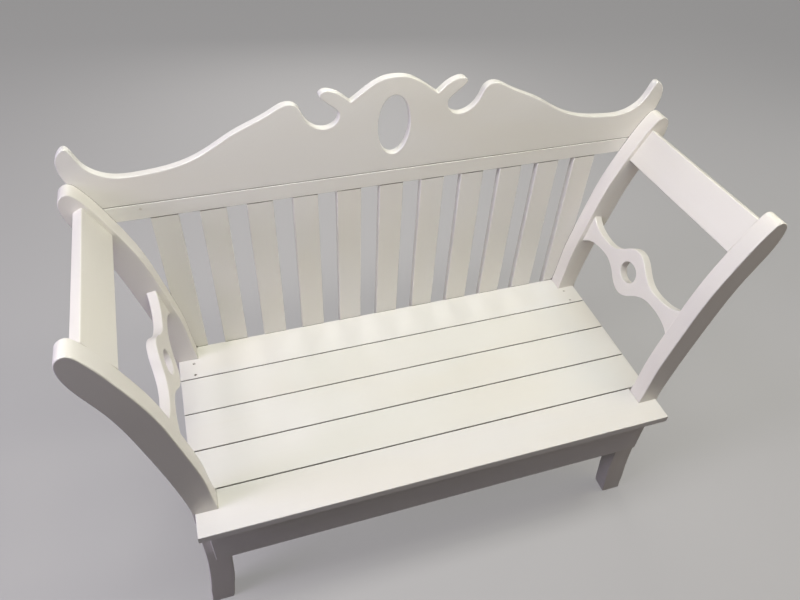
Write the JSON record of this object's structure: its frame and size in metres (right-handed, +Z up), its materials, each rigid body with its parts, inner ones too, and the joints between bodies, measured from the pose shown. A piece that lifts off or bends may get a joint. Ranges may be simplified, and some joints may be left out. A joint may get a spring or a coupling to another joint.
{
  "type": "slatted garden bench",
  "caption": "White painted wooden two-seat bench with flared curved posts, angled arm boards, pierced side splats, a slatted back and a scrolled crest board with an oval hole.",
  "frame": {"origin": "on the floor under the middle of the bench's overall box", "axes": "+X along the bench, to the right seen from the front; +Y from front to back; +Z up"},
  "size_m": [1.5182, 0.596, 1.2013],
  "materials": {
    "frame_paint": "satin paint",
    "seat_paint": "satin paint",
    "dowel_wood": "bare beech",
    "screw_steel": "dull zinc"
  },
  "bodies": {
    "root": {"front_post_left": "frame_paint", "front_post_right": "frame_paint", "rear_post_left": "frame_paint", "rear_post_right": "frame_paint", "arm_board_left": "frame_paint", "arm_board_right": "frame_paint", "side_splat_left": "frame_paint", "side_splat_right": "frame_paint", "side_rail_left": "frame_paint", "side_rail_right": "frame_paint", "seat_cleat_left": "frame_paint", "seat_cleat_right": "frame_paint", "front_apron": "frame_paint", "lower_back_rail": "frame_paint", "seat_bearer": "frame_paint", "top_back_rail": "frame_paint", "crest_board": "frame_paint", "seat_board_1": "seat_paint", "seat_board_2": "seat_paint", "seat_board_3": "seat_paint", "seat_board_4": "seat_paint", "seat_board_5": "seat_paint", "back_slat_01": "frame_paint", "back_slat_02": "frame_paint", "back_slat_03": "frame_paint", "back_slat_04": "frame_paint", "back_slat_05": "frame_paint", "back_slat_06": "frame_paint", "back_slat_07": "frame_paint", "back_slat_08": "frame_paint", "back_slat_09": "frame_paint", "back_slat_10": "frame_paint", "back_slat_11": "frame_paint", "arm_dowels": "dowel_wood", "splat_dowels": "dowel_wood", "side_rail_dowels": "dowel_wood", "lower_rail_dowels": "dowel_wood", "apron_dowels": "dowel_wood", "bearer_dowels": "dowel_wood", "crest_dowels": "dowel_wood", "rear_board_screws": "screw_steel", "seat_cleat_screws": "screw_steel", "cleat_side_screws": "screw_steel", "slat_screws": "screw_steel", "back_screws": "screw_steel"}
  },
  "joints": []
}
